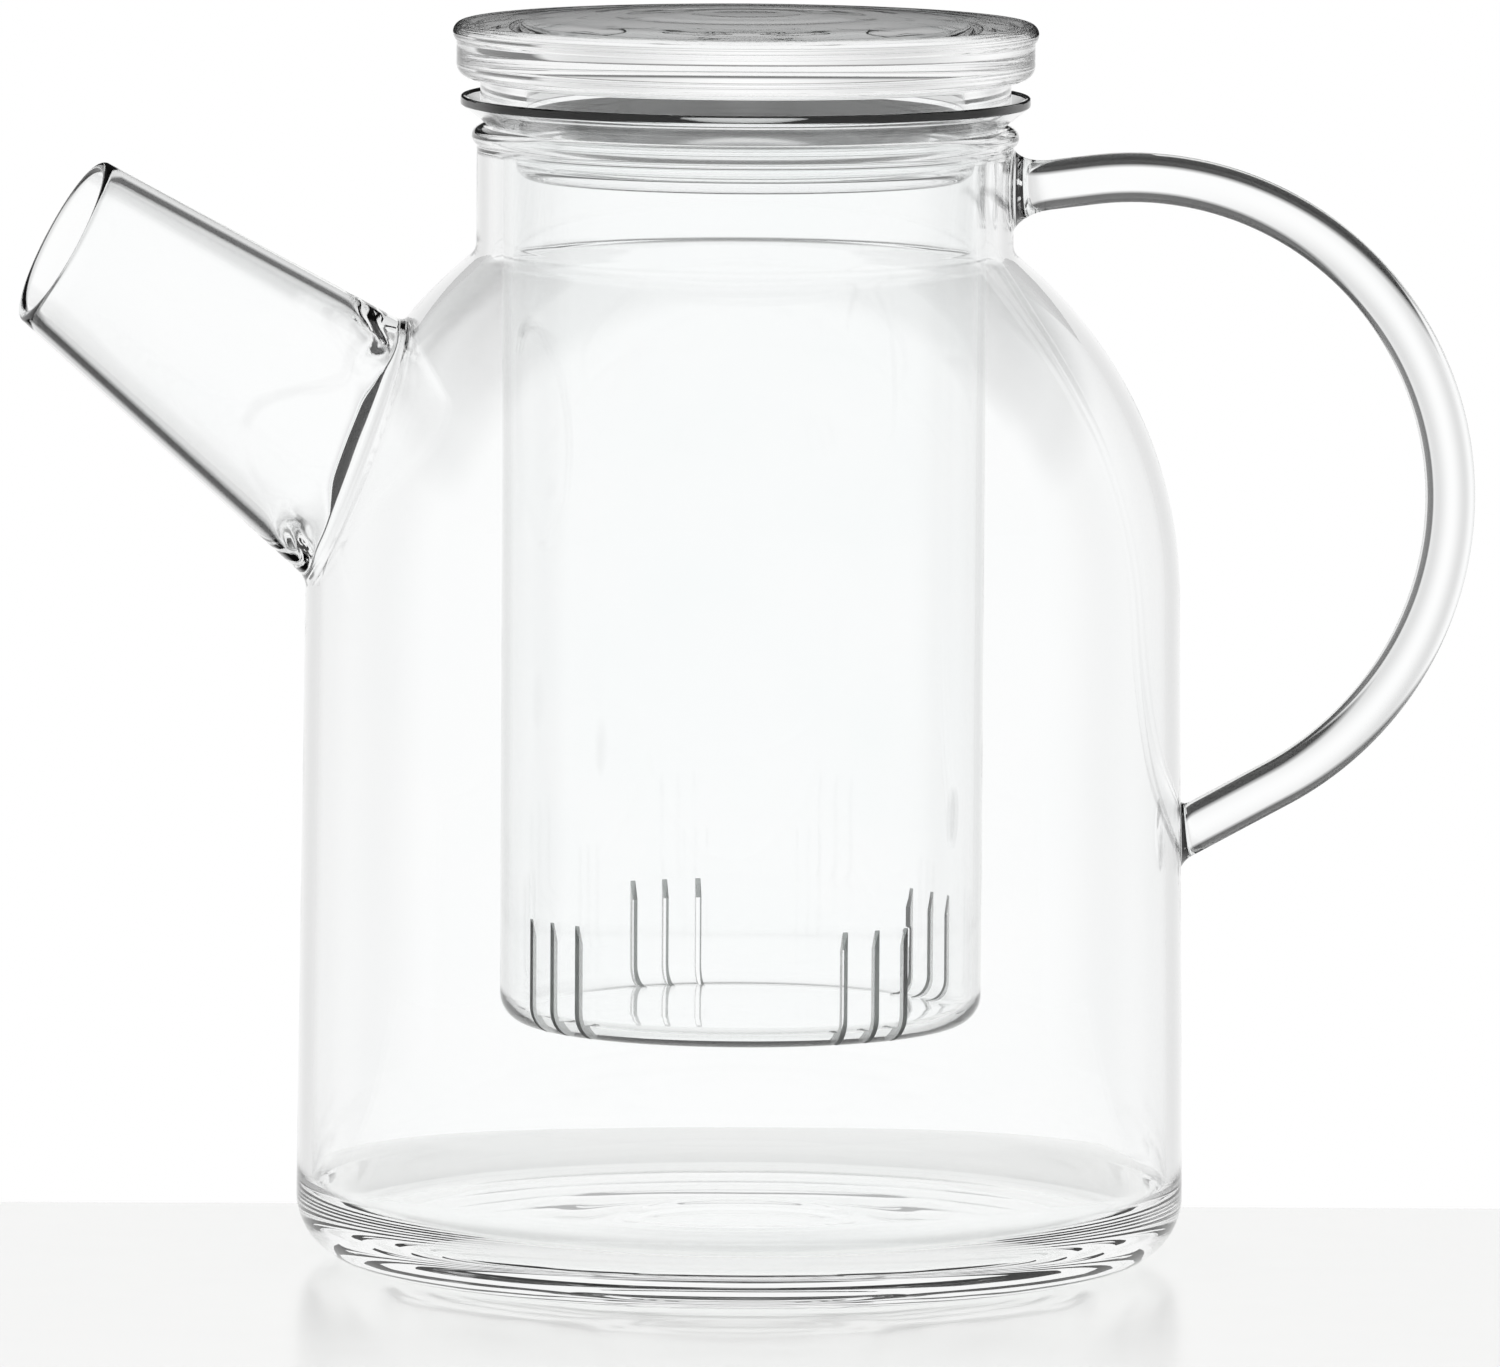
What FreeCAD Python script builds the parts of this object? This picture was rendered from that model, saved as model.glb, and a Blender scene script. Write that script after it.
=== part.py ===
import FreeCAD, Part

import math
import os

# Glass teapot with a lift-out glass strainer and a glass lid, in millimetres with +Z up.
# The origin is the centre of the flat base. The spout points to -X and the handle to +X.

# Vessel
body_diameter = 125.0
shoulder_diameter = 123.0
shoulder_height = 93.6
heel_radius = 9.0
inner_heel_radius = 7.0
vessel_wall = 2.1
base_thickness = 5.6
neck_diameter = 75.4
neck_length = 16.4
neck_fillet = 2.5
lip_radius = 1.4

# Spout
spout_root_angle = 22.0
spout_rise = 35.3
spout_length = 47.5
spout_mouth_diameter = 24.8
spout_half_angle = 7.0
spout_wall = 1.7
mouth_normal_rise = 28.6
mouth_normal_turn = 7.0

# Handle
rod_diameter = 7.0
handle_bend_radius = 45.5
handle_bend_reach = 54.5
handle_drop = 8.9
upper_leg_rise = 7.0
lower_leg_slope = 28.0
upper_foot_diameter = 12.6
upper_foot_length = 4.6
upper_foot_hollow = 0.8
lower_foot_diameter = 9.8
lower_foot_length = 1.8
lower_foot_shoulder = 0.25

# Strainer
neck_clearance = 1.7
infuser_wall = 1.2
infuser_floor = 1.5
infuser_corner = 4.0
infuser_floor_gap = 27.9
flare_angle = 52.0
flare_bend = 4.0
flare_overhang = 1.6
seat_gap = 0.3
slit_group_turns = (29.0, 105.0, 215.0, 299.5)
slits_per_group = 3
slit_pitch = 5.1
slit_width = 0.8
slit_height = 16.3
slit_floor_reach = 4.5
saw_radius = 45.0

# Lid
plug_clearance = 0.5
plug_length = 6.1
plug_wall = 1.4
plug_floor = 1.7
plug_corner = 2.2
seat_length = 6.4
lid_gap = 2.2
lid_thickness = 7.8
lid_overhang = 0.6
lid_edge_radius = 2.0
lid_bead_radius = 1.5
lid_bead_overhang = 0.5
lid_crown_slope = 3.5


def flat(r, z):
    return FreeCAD.Vector(r, 0, z)


def spoke(centre, radius, degrees):
    angle = math.radians(degrees)
    return centre + flat(radius * math.cos(angle), radius * math.sin(angle))


def arc(centre, radius, start, end):
    return [spoke(centre, radius, degrees) for degrees in (start, (start + end) / 2, end)]


def round_corner(before, corner, after, radius):
    to_before = (before - corner).normalize()
    to_after = (after - corner).normalize()
    half_angle = to_before.getAngle(to_after) / 2
    inward = (to_before + to_after).normalize()
    start = corner + to_before * (radius / math.tan(half_angle))
    end = corner + to_after * (radius / math.tan(half_angle))
    middle = corner + inward * (radius / math.sin(half_angle) - radius)
    return [start, middle, end]


# A run is one point or the three points of an arc; straight lines join the runs.
def outline_edges(runs, closed):
    edges = []
    following = runs[1:] + runs[:1] if closed else runs[1:] + [None]
    for run, after in zip(runs, following):
        if len(run) == 3:
            edges.append(Part.Arc(*run).toShape())
        if after is not None and run[-1].distanceToPoint(after[0]) > 1e-6:
            edges.append(Part.LineSegment(run[-1], after[0]).toShape())
    return edges


def turned(runs, base=FreeCAD.Vector(0, 0, 0), axis=FreeCAD.Vector(0, 0, 1)):
    face = Part.Face(Part.Wire(outline_edges(runs, True)))
    return face.revolve(base, axis, 360)


def save(shape, node):
    solid = shape.removeSplitter()
    if len(solid.Solids) == 1:
        solid = solid.Solids[0]
    solid.exportStep("parts/" + node + ".step")


# Vessel outline: the wall is the straight line that touches the heel's and the dome's circles.
dome_centre = flat(0, shoulder_height)
dome_radius = shoulder_diameter / 2
heel_centre = flat(body_diameter / 2 - heel_radius, heel_radius)
heel_to_dome = heel_centre - dome_centre
wall_tilt = math.degrees(
    math.acos((dome_radius - heel_radius) / heel_to_dome.Length)
    + math.atan2(heel_to_dome.z, heel_to_dome.x))
wall_normal = spoke(flat(0, 0), 1, wall_tilt)
wall_offset = heel_centre.dot(wall_normal) + heel_radius

neck_radius = neck_diameter / 2
neck_bore_radius = neck_radius - vessel_wall
fillet_centre_r = neck_radius + neck_fillet
fillet_centre_rise = math.sqrt((dome_radius + neck_fillet) ** 2 - fillet_centre_r ** 2)
fillet_centre = dome_centre + flat(fillet_centre_r, fillet_centre_rise)
dome_end = math.degrees(math.atan2(fillet_centre_rise, fillet_centre_r))
rim_height = fillet_centre.z + neck_length
lip_centre = flat(neck_bore_radius + lip_radius, rim_height - lip_radius)
lip_start = -math.degrees(math.acos((neck_radius - lip_centre.x) / lip_radius))


def wall_radius(height):
    return (wall_offset - height * wall_normal.z) / wall_normal.x


def vessel_outside():
    return [
        [flat(0, 0)],
        arc(heel_centre, heel_radius, -90, wall_tilt),
        arc(dome_centre, dome_radius, wall_tilt, dome_end),
        arc(fillet_centre, neck_fillet, 180 + dome_end, 180),
    ]


def vessel_inside():
    inner_heel_z = base_thickness + inner_heel_radius
    inner_offset = wall_offset - vessel_wall - inner_heel_radius
    inner_heel_r = (inner_offset - inner_heel_z * wall_normal.z) / wall_normal.x
    inner_heel_centre = flat(inner_heel_r, inner_heel_z)
    return [
        arc(fillet_centre, neck_fillet + vessel_wall, 180, 180 + dome_end),
        arc(dome_centre, dome_radius - vessel_wall, dome_end, wall_tilt),
        arc(inner_heel_centre, inner_heel_radius, wall_tilt, -90),
        [flat(0, base_thickness)],
    ]


lip = arc(lip_centre, lip_radius, lip_start, 180)
vessel_block = turned(vessel_outside() + [lip, [flat(0, lip_centre.z)]])
vessel_shell = turned(vessel_outside() + [lip] + vessel_inside())


# Spout: a hollow cone about a rising axis. It starts at the dome and is cut off at the mouth's plane,
# which the hand cut left facing a little to the front, -Y.
# Both cones run one mouth diameter past the mouth and into the vessel, so that the cuts go right through.
spout_direction = spoke(flat(0, 0), 1, 180 - spout_rise)
spout_root = spoke(dome_centre, dome_radius, 180 - spout_root_angle)
mouth_centre = spout_root + spout_direction * spout_length
mouth_turn = math.radians(mouth_normal_turn)
mouth_normal = (
    spoke(flat(0, 0), 1, 180 - mouth_normal_rise) * math.cos(mouth_turn)
    + FreeCAD.Vector(0, -1, 0) * math.sin(mouth_turn))


def spout_cone(mouth_radius):
    spare = spout_mouth_diameter
    widening = math.tan(math.radians(spout_half_angle))
    start = mouth_centre + spout_direction * spare
    narrow = mouth_radius - spare * widening
    wide = mouth_radius + (spout_length + spare) * widening
    return Part.makeCone(narrow, wide, spout_length + 2 * spare, start, spout_direction * -1)


def beyond_mouth():
    side = 4 * spout_mouth_diameter
    block = Part.makeBox(side, side, side, FreeCAD.Vector(-side / 2, -side / 2, 0))
    block.Placement = FreeCAD.Placement(
        mouth_centre, FreeCAD.Rotation(FreeCAD.Vector(0, 0, 1), mouth_normal))
    return block


spout_bore = spout_cone(spout_mouth_diameter / 2 - spout_wall)
spout_tube = spout_cone(spout_mouth_diameter / 2).cut(spout_bore)
spout = spout_tube.cut(beyond_mouth()).cut(vessel_block)
vessel = vessel_shell.cut(spout_bore)


# Handle: a straight leg from the neck, one round bend, and a straight leg down to the wall.
rod_radius = rod_diameter / 2
upper_direction = spoke(flat(0, 0), 1, upper_leg_rise)
lower_direction = spoke(flat(0, 0), 1, lower_leg_slope)
upper_weld = flat(neck_radius, rim_height - handle_drop)
bend_height = (
    upper_weld.z + (handle_bend_reach - neck_radius) * math.tan(math.radians(upper_leg_rise))
    - handle_bend_radius / math.cos(math.radians(upper_leg_rise)))
bend_centre = flat(handle_bend_reach, bend_height)
bend = arc(bend_centre, handle_bend_radius, 90 + upper_leg_rise, lower_leg_slope - 90)
upper_foot_end = upper_weld + upper_direction * upper_foot_length


# The lower leg's line meets the sloping wall at the lower weld.
leg_foot = bend[-1]
leg_run = (leg_foot.dot(wall_normal) - wall_offset) / lower_direction.dot(wall_normal)
leg_weld = leg_foot - lower_direction * leg_run
leg_end = leg_weld + lower_direction * (lower_foot_length / lower_direction.x)
lower_weld = flat(wall_radius(leg_end.z), leg_end.z)


def handle_rod():
    leg_past_face = leg_end - lower_direction * rod_diameter
    path = Part.Wire(outline_edges([[upper_foot_end], bend, [leg_past_face]], False))
    section = Part.Wire(Part.makeCircle(rod_radius, upper_foot_end, upper_direction))
    rod = path.makePipeShell([section], True, False)
    past_face = Part.makeBox(
        leg_end.x, 2 * rod_diameter, bend_height, FreeCAD.Vector(0, -rod_diameter, 0))
    return rod.cut(past_face)


def upper_foot():
    root = upper_weld - upper_direction * vessel_wall
    square = spoke(flat(0, 0), 1, 90 + upper_leg_rise)
    rod_edge = upper_foot_end + square * rod_radius
    weld_edge = upper_weld + square * (upper_foot_diameter / 2)
    inward = (square + upper_direction).normalize() * -upper_foot_hollow
    trumpet = [weld_edge, (rod_edge + weld_edge) * 0.5 + inward, rod_edge]
    foot = turned(
        [[root], [root + square * (upper_foot_diameter / 2)], trumpet, [upper_foot_end]],
        upper_weld, upper_direction)
    return foot.cut(vessel_block)


def lower_foot():
    face_radius = rod_radius / lower_direction.x + lower_foot_shoulder
    root = lower_weld - flat(vessel_wall, 0)
    foot = turned(
        [[root], [root + flat(0, lower_foot_diameter / 2)],
         [lower_weld + flat(0, lower_foot_diameter / 2)],
         [leg_end + flat(0, face_radius)], [leg_end]],
        lower_weld, FreeCAD.Vector(1, 0, 0))
    return foot.cut(vessel_block)


# Strainer: a closed tube whose funnel hangs on the neck's lip. The funnel's edge is ground upright.
infuser_radius = neck_bore_radius - neck_clearance
infuser_bore_radius = infuser_radius - infuser_wall
infuser_bottom = base_thickness + infuser_floor_gap
flare_direction = spoke(flat(0, 0), 1, 90 - flare_angle)
flare_normal = spoke(flat(0, 0), 1, -flare_angle)
flare_radius = lip_centre.x + lip_radius + flare_overhang
seat_point = lip_centre - flare_normal * (lip_radius + seat_gap)


def flare_point(inset, radius):
    start = seat_point - flare_normal * inset
    return start + flare_direction * ((radius - start.x) / flare_direction.x)


rim_foot = flare_point(0, flare_radius)
rim_head = flare_point(infuser_wall, flare_radius)


def infuser_tube():
    floor_top = infuser_bottom + infuser_floor
    outer_bend = flare_point(0, infuser_radius)
    inner_bend = flare_point(infuser_wall, infuser_bore_radius)
    outer_corner = flat(infuser_radius, infuser_bottom)
    inner_corner = flat(infuser_bore_radius, floor_top)
    inner_radius = infuser_corner - infuser_wall
    return turned([
        [flat(0, infuser_bottom)],
        round_corner(flat(0, infuser_bottom), outer_corner, outer_bend, infuser_corner),
        round_corner(outer_corner, outer_bend, rim_foot, flare_bend),
        [rim_foot],
        [rim_head],
        round_corner(rim_head, inner_bend, inner_corner, flare_bend + infuser_wall),
        round_corner(inner_bend, inner_corner, flat(0, floor_top), inner_radius),
        [flat(0, floor_top)],
    ])


# Each slit is a plunge of a thin saw wheel from outside: it runs out at the slit's top
# and bites into the floor at the bottom.
def saw_cut(degrees):
    top = flat(infuser_radius, infuser_bottom + slit_height)
    foot = flat(infuser_radius - slit_floor_reach, infuser_bottom)
    chord = top - foot
    across = FreeCAD.Vector(chord.z, 0, -chord.x).normalize()
    centre = (top + foot) * 0.5 + across * math.sqrt(saw_radius ** 2 - (chord.Length / 2) ** 2)
    wheel = Part.makeCylinder(
        saw_radius, slit_width, centre - FreeCAD.Vector(0, slit_width / 2, 0), FreeCAD.Vector(0, 1, 0))
    wheel.rotate(FreeCAD.Vector(0, 0, 0), FreeCAD.Vector(0, 0, 1), degrees)
    return wheel


def infuser():
    body = infuser_tube()
    step = math.degrees(slit_pitch / infuser_radius)
    for group_turn in slit_group_turns:
        for slit in range(slits_per_group):
            offset = (slit - (slits_per_group - 1) / 2) * step
            body = body.cut(saw_cut(group_turn + offset))
    return body


# Lid: a thick disc over a closed hollow plug, whose cone sits in the strainer's funnel.
plug_radius = infuser_bore_radius - plug_clearance
lid_bottom = rim_head.z + lid_gap
lid_top = lid_bottom + lid_thickness
lid_radius = flare_radius + lid_overhang


def lid_plug():
    seat_foot = flare_point(infuser_wall + seat_gap, plug_radius)
    seat_head = seat_foot + flare_direction * seat_length
    bottom = seat_foot.z - plug_length
    cavity_radius = plug_radius - plug_wall
    outer_corner = flat(plug_radius, bottom)
    inner_corner = flat(cavity_radius, bottom + plug_floor)
    return turned([
        [flat(0, bottom)],
        round_corner(flat(0, bottom), outer_corner, seat_foot, plug_corner),
        [seat_foot],
        [seat_head],
        [flat(seat_head.x, lid_bottom)],
        [flat(cavity_radius, lid_bottom)],
        round_corner(
            flat(cavity_radius, lid_bottom), inner_corner, flat(0, bottom + plug_floor),
            plug_corner / 2),
        [flat(0, bottom + plug_floor)],
    ])


def lid_disc():
    bead_centre = flat(lid_radius + lid_bead_overhang - lid_bead_radius, lid_top - lid_bead_radius)
    bead_start = -math.degrees(math.acos((lid_radius - bead_centre.x) / lid_bead_radius))
    edge_centre = flat(lid_radius - lid_edge_radius, lid_bottom + lid_edge_radius)
    slope = math.radians(lid_crown_slope)
    crown_radius = bead_centre.x / math.sin(slope) + lid_bead_radius
    crown_centre = flat(0, bead_centre.z - bead_centre.x / math.tan(slope))
    crown_edge = 90 - lid_crown_slope
    return turned([
        [flat(0, lid_bottom)],
        arc(edge_centre, lid_edge_radius, -90, 0),
        arc(bead_centre, lid_bead_radius, bead_start, crown_edge),
        arc(crown_centre, crown_radius, crown_edge, 90),
    ])


os.makedirs("parts", exist_ok=True)
save(vessel, "vessel")
save(spout, "spout")
save(handle_rod(), "handle_rod")
save(upper_foot(), "handle_upper_foot")
save(lower_foot(), "handle_lower_foot")
save(infuser(), "infuser")
save(lid_plug(), "lid_plug")
save(lid_disc(), "lid_disc")

print("spout mouth at", round(mouth_centre.x, 1), round(mouth_centre.z, 1))
print("lower weld at", round(lower_weld.x, 1), round(lower_weld.z, 1))
print("bend centre at", round(bend_centre.x, 1), round(bend_centre.z, 1))
print("rim", round(rim_height, 1), "strainer edge", round(rim_head.z, 1), "lid top", round(lid_top, 1))
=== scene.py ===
import math

import bmesh
import bpy
import numpy as np
from mathutils import Matrix, Vector


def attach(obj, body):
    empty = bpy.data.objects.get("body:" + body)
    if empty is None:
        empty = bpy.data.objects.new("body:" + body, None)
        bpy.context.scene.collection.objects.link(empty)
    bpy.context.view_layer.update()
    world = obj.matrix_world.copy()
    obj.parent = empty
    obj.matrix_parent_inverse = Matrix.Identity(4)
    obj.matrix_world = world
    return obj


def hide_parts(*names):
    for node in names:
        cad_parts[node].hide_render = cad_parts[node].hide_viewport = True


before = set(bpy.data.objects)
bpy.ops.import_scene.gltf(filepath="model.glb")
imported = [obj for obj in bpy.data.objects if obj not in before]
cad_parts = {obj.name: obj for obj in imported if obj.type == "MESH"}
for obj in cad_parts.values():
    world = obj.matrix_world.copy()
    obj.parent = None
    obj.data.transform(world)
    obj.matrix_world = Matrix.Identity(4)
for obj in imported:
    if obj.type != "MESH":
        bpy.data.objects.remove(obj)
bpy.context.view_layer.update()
scene = bpy.context.scene
scene.view_settings.view_transform = "Standard"

# all lengths are millimetres until a mesh is made, then metres; a close row keeps a bend's shading
# off a straight that is longer than the long gap
mm = 0.001
closeRow = 0.2
longGap = 1.6
samePoint = 1e-5


def polar(radius, degrees):
    a = math.radians(degrees)
    return np.array([radius * math.cos(a), radius * math.sin(a)])


def arcRun(centre, radius, start, end, count):
    # a circle's points from start to end degrees, in (r, z)
    a = np.radians(np.linspace(start, end, count + 1))
    return np.stack([centre[0] + radius * np.cos(a), centre[1] + radius * np.sin(a)], 1)


def lineRun(p, q, count):
    # a straight in equal steps, with a close row at each end
    p, q = np.asarray(p, float), np.asarray(q, float)
    t = np.linspace(0, 1, count + 1)
    if count > 1:
        close = closeRow / np.linalg.norm(q - p)
        t = np.sort(np.concatenate([t, [close, 1 - close]]))
    return p + t[:, None] * (q - p)


def cornerRun(before, corner, after, radius, count):
    # the arc that rounds a corner: it touches both sides at radius / tan(half the angle)
    p, c, q = (np.asarray(v, float) for v in (before, corner, after))
    toP, toQ = (p - c) / np.linalg.norm(p - c), (q - c) / np.linalg.norm(q - c)
    half = math.acos(float(np.clip(toP @ toQ, -1, 1))) / 2
    bisector = (toP + toQ) / np.linalg.norm(toP + toQ)
    middle = c + bisector * radius / math.sin(half)
    start, end = c + toP * radius / math.tan(half), c + toQ * radius / math.tan(half)
    a0 = math.degrees(math.atan2(*(start - middle)[::-1]))
    a1 = math.degrees(math.atan2(*(end - middle)[::-1]))
    return arcRun(middle, radius, a0, a0 + (a1 - a0 + 180) % 360 - 180, count)


def chain(*runs):
    # runs end to end; a long straight between two runs gets a close row at each end
    kept = [runs[0]]
    for run in runs[1:]:
        gap = run[0] - kept[-1][-1]
        length = np.linalg.norm(gap)
        if length > longGap:
            step = gap * closeRow / length
            kept.append(np.stack([kept[-1][-1] + step, run[0] - step]))
        kept.append(run if length > samePoint / 10 else run[1:])
    return np.concatenate(kept)


def turned(profile, angles):
    # every profile point (r, z) goes round the axis: x = r cos a, y = r sin a
    r, z = profile[:, :1], profile[:, 1:]
    angles = np.broadcast_to(angles, (len(profile), np.shape(angles)[-1]))
    return np.stack([r * np.cos(angles), r * np.sin(angles), np.broadcast_to(z, angles.shape)], 2)


def gridPart(points, closed=True, keep=None, slot=0):
    # a grid's quads: row by row, and round to the first column when closed
    rows, cols = points.shape[:2]
    j, i = np.meshgrid(np.arange(rows - 1), np.arange(cols if closed else cols - 1), indexing="ij")
    n = (i + 1) % cols
    quads = np.stack([j * cols + i, j * cols + n, (j + 1) * cols + n, (j + 1) * cols + i], -1)
    quads = quads[keep] if keep is not None else quads.reshape(-1, 4)
    return points.reshape(-1, 3), quads, np.full(len(quads), slot)


def makePiece(name, parts, materials, body, nodes, turnOut=True, sharp=None):
    # parts are joined where their points meet, and quads that shrink to a pole become triangles
    points = np.concatenate([p[0] for p in parts])
    start = np.cumsum([0] + [len(p[0]) for p in parts[:-1]])
    quads = np.concatenate([p[1] + s for p, s in zip(parts, start)])
    slots = np.concatenate([p[2] for p in parts])
    snapped = np.round(points / samePoint).astype(np.int64)
    first, same = np.unique(snapped, axis=0, return_index=True, return_inverse=True)[1:]
    points, quads = points[first], same.reshape(-1)[quads]
    used, same = np.unique(quads, return_inverse=True)
    points, quads = points[used], same.reshape(quads.shape)
    flat = np.stack([quads[:, k] == quads[:, (k + 1) % 4] for k in range(4)], 1)
    faces = quads[~flat.any(1)].tolist()
    faceSlots = slots[~flat.any(1)].tolist()
    for k in range(4):
        pick = flat[:, k] & (flat.sum(1) == 1)
        faces += quads[pick][:, [c for c in range(4) if c != k]].tolist()
        faceSlots += slots[pick].tolist()
    mesh = bpy.data.meshes.new(name)
    mesh.from_pydata((points * mm).tolist(), [], faces)
    for material in materials:
        mesh.materials.append(material)
    mesh.polygons.foreach_set("material_index", np.array(faceSlots, np.int32))
    mesh.polygons.foreach_set("use_smooth", np.ones(len(faces), bool))
    b = bmesh.new()
    b.from_mesh(mesh)
    if turnOut:
        bmesh.ops.recalc_face_normals(b, faces=b.faces)
    volume = b.calc_volume(signed=True)
    openEdges = sum(1 for e in b.edges if not e.is_manifold)
    b.to_mesh(mesh)
    b.free()
    if sharp:
        mesh.set_sharp_from_angle(angle=math.radians(sharp))
    mesh.update()
    obj = bpy.data.objects.new(name, mesh)
    scene.collection.objects.link(obj)
    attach(obj, body)
    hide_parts(*nodes)
    print(name, len(points), "points", len(faces), "faces",
          round(volume * 1e6, 1), "cm3", openEdges, "open edges")


def colour(hexCode):
    # sRGB hex to linear
    c = np.array([int(hexCode[k:k + 2], 16) / 255 for k in (0, 2, 4)])
    c = np.where(c <= 0.04045, c / 12.92, ((c + 0.055) / 1.055) ** 2.4)
    return (*c.tolist(), 1.0)


def addNode(tree, kind, links=None, **settings):
    # adds a node; settings go to its properties or sockets, links join sockets by name or place
    node = tree.nodes.new(kind)
    for key, value in settings.items():
        if hasattr(node, key):
            setattr(node, key, value)
        else:
            node.inputs[key.replace("_", " ")].default_value = value
    for socket, source in (links or {}).items():
        tree.links.new(source, node.inputs[socket])
    return node


def newMaterial(name):
    material = bpy.data.materials.new(name)
    material.use_nodes = True
    material.node_tree.nodes.clear()
    return material, material.node_tree


# Borosilicate glass, blown and flame worked: clear and water white, fire polished all over,
# with the slow waves that blowing leaves in a wall; the pressed lid is smoother.
blownGlassLook = {"tintA": "FFFFFF", "tintB": "FDFEFE", "ior": 1.473, "waveWidth": 16.0,
                  "waveDepth": 0.012, "pressedDepth": 0.001}


def blownGlass(name, waveDepth):
    look = blownGlassLook
    material, tree = newMaterial(name)
    place = addNode(tree, "ShaderNodeTexCoord").outputs["Object"]
    slow = addNode(tree, "ShaderNodeTexNoise", {"Vector": place},
                   Scale=1 / (look["waveWidth"] * mm), Detail=1.0)
    tint = addNode(tree, "ShaderNodeMix", {0: slow.outputs["Fac"]}, data_type="RGBA")
    tint.inputs[6].default_value = colour(look["tintA"])
    tint.inputs[7].default_value = colour(look["tintB"])
    wave = addNode(tree, "ShaderNodeBump", {"Height": slow.outputs["Fac"]},
                   Strength=1.0, Distance=waveDepth * mm)
    shader = addNode(tree, "ShaderNodeBsdfPrincipled",
                     {"Base Color": tint.outputs[2], "Normal": wave.outputs["Normal"]},
                     Roughness=0.0, IOR=look["ior"], Transmission_Weight=1.0)
    addNode(tree, "ShaderNodeOutputMaterial", {"Surface": shader.outputs[0]})
    return material


# Saw-cut glass: the wheel leaves the slit's faces matt, with fine strokes across them; their dark grey
# tint is painted shade, the darkness the narrow slits show.
sawnGlassAndShadeLook = {"tint": "5C6260", "ior": 1.473, "roughness": (0.4, 0.6),
                 "strokeWidth": 0.45, "strokeDepth": 0.02}


def sawnGlass():
    look = sawnGlassAndShadeLook
    material, tree = newMaterial("borosilicateGlassSawnPaintedShade")
    place = addNode(tree, "ShaderNodeTexCoord").outputs["Object"]
    grit = addNode(tree, "ShaderNodeTexNoise", {"Vector": place},
                   Scale=1 / (look["strokeWidth"] * mm), Detail=3.0)
    rough = addNode(tree, "ShaderNodeMapRange", {"Value": grit.outputs["Fac"]},
                    To_Min=look["roughness"][0], To_Max=look["roughness"][1])
    stroke = addNode(tree, "ShaderNodeBump", {"Height": grit.outputs["Fac"]},
                     Strength=1.0, Distance=look["strokeDepth"] * mm)
    # the dark grey base colour is painted shade on the slit faces, not the glass's own colour
    shader = addNode(tree, "ShaderNodeBsdfPrincipled",
                     {"Roughness": rough.outputs[0], "Normal": stroke.outputs["Normal"]},
                     Base_Color=colour(look["tint"]), IOR=look["ior"], Transmission_Weight=1.0)
    addNode(tree, "ShaderNodeOutputMaterial", {"Surface": shader.outputs[0]})
    return material


glass = blownGlass("borosilicateGlassBlown", blownGlassLook["waveDepth"])
thickGlass = blownGlass("borosilicateGlassPressed", blownGlassLook["pressedDepth"])
# the material for the slit faces, with their painted shade
cutGlassPaintedShade = sawnGlass()

# pot: vessel, spout and handle, one continuous piece of welded glass

vessel = {
    "bodyRadius": 62.5, "shoulderRadius": 61.5, "shoulderHeight": 93.6, "heelRadius": 9.0,
    "innerHeelRadius": 7.0, "wall": 2.1, "baseThickness": 5.6, "neckRadius": 37.7,
    "neckLength": 16.4, "neckFillet": 2.5, "lipRadius": 1.4, "columns": 192,
    "footRing": 3.0, "footHollow": 0.5,
    "floorRings": ((16.0, 1.6, 0.10), (21.5, 2.5, -0.06), (31.0, 3.0, 0.05), (41.0, 3.5, -0.04)),
}
spout = {
    "rootAngle": 22.0, "rise": 35.3, "length": 47.5, "mouthRadius": 12.4, "halfAngle": 7.0,
    "wall": 1.7, "mouthRise": 28.6, "mouthTurn": 7.0, "weldOut": (1.0, 1.3), "weldIn": (1.2, 1.2),
    "lumpThick": 1.5, "lumpAway": 3.4, "lumpLong": 2.2, "lumpWide": 38.0, "lumpStart": 1.2,
    "lumpWaves": ((1.1, 5, 0.6), (0.7, 11, 0.0)), "boreRows": 45, "boreCrowd": 1.9,
}
handle = {
    "rodRadius": 3.5, "bendRadius": 45.5, "bendReach": 54.5, "drop": 8.9, "upperRise": 7.0,
    "lowerSlope": 28.0, "upperFoot": (2.9, 5.4), "lowerFoot": (1.4, 1.9), "bendRows": 91,
}

v, s, h = vessel, spout, handle
domeCentre = np.array([0.0, v["shoulderHeight"]])
domeRadius = v["shoulderRadius"]
heelCentre = np.array([v["bodyRadius"] - v["heelRadius"], v["heelRadius"]])
apart = heelCentre - domeCentre
wallTilt = math.degrees(math.acos((domeRadius - v["heelRadius"]) / np.linalg.norm(apart))
                        + math.atan2(apart[1], apart[0]))
wallNormal = polar(1, wallTilt)
wallOffset = heelCentre @ wallNormal + v["heelRadius"]
neckBore = v["neckRadius"] - v["wall"]
filletR = v["neckRadius"] + v["neckFillet"]
filletRise = math.sqrt((domeRadius + v["neckFillet"]) ** 2 - filletR ** 2)
filletCentre = domeCentre + np.array([filletR, filletRise])
domeEnd = math.degrees(math.atan2(filletCentre[1] - domeCentre[1], filletR))
rimHeight = filletCentre[1] + v["neckLength"]
lipCentre = np.array([neckBore + v["lipRadius"], rimHeight - v["lipRadius"]])
lipStart = -math.degrees(math.acos((v["neckRadius"] - lipCentre[0]) / v["lipRadius"]))


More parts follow.
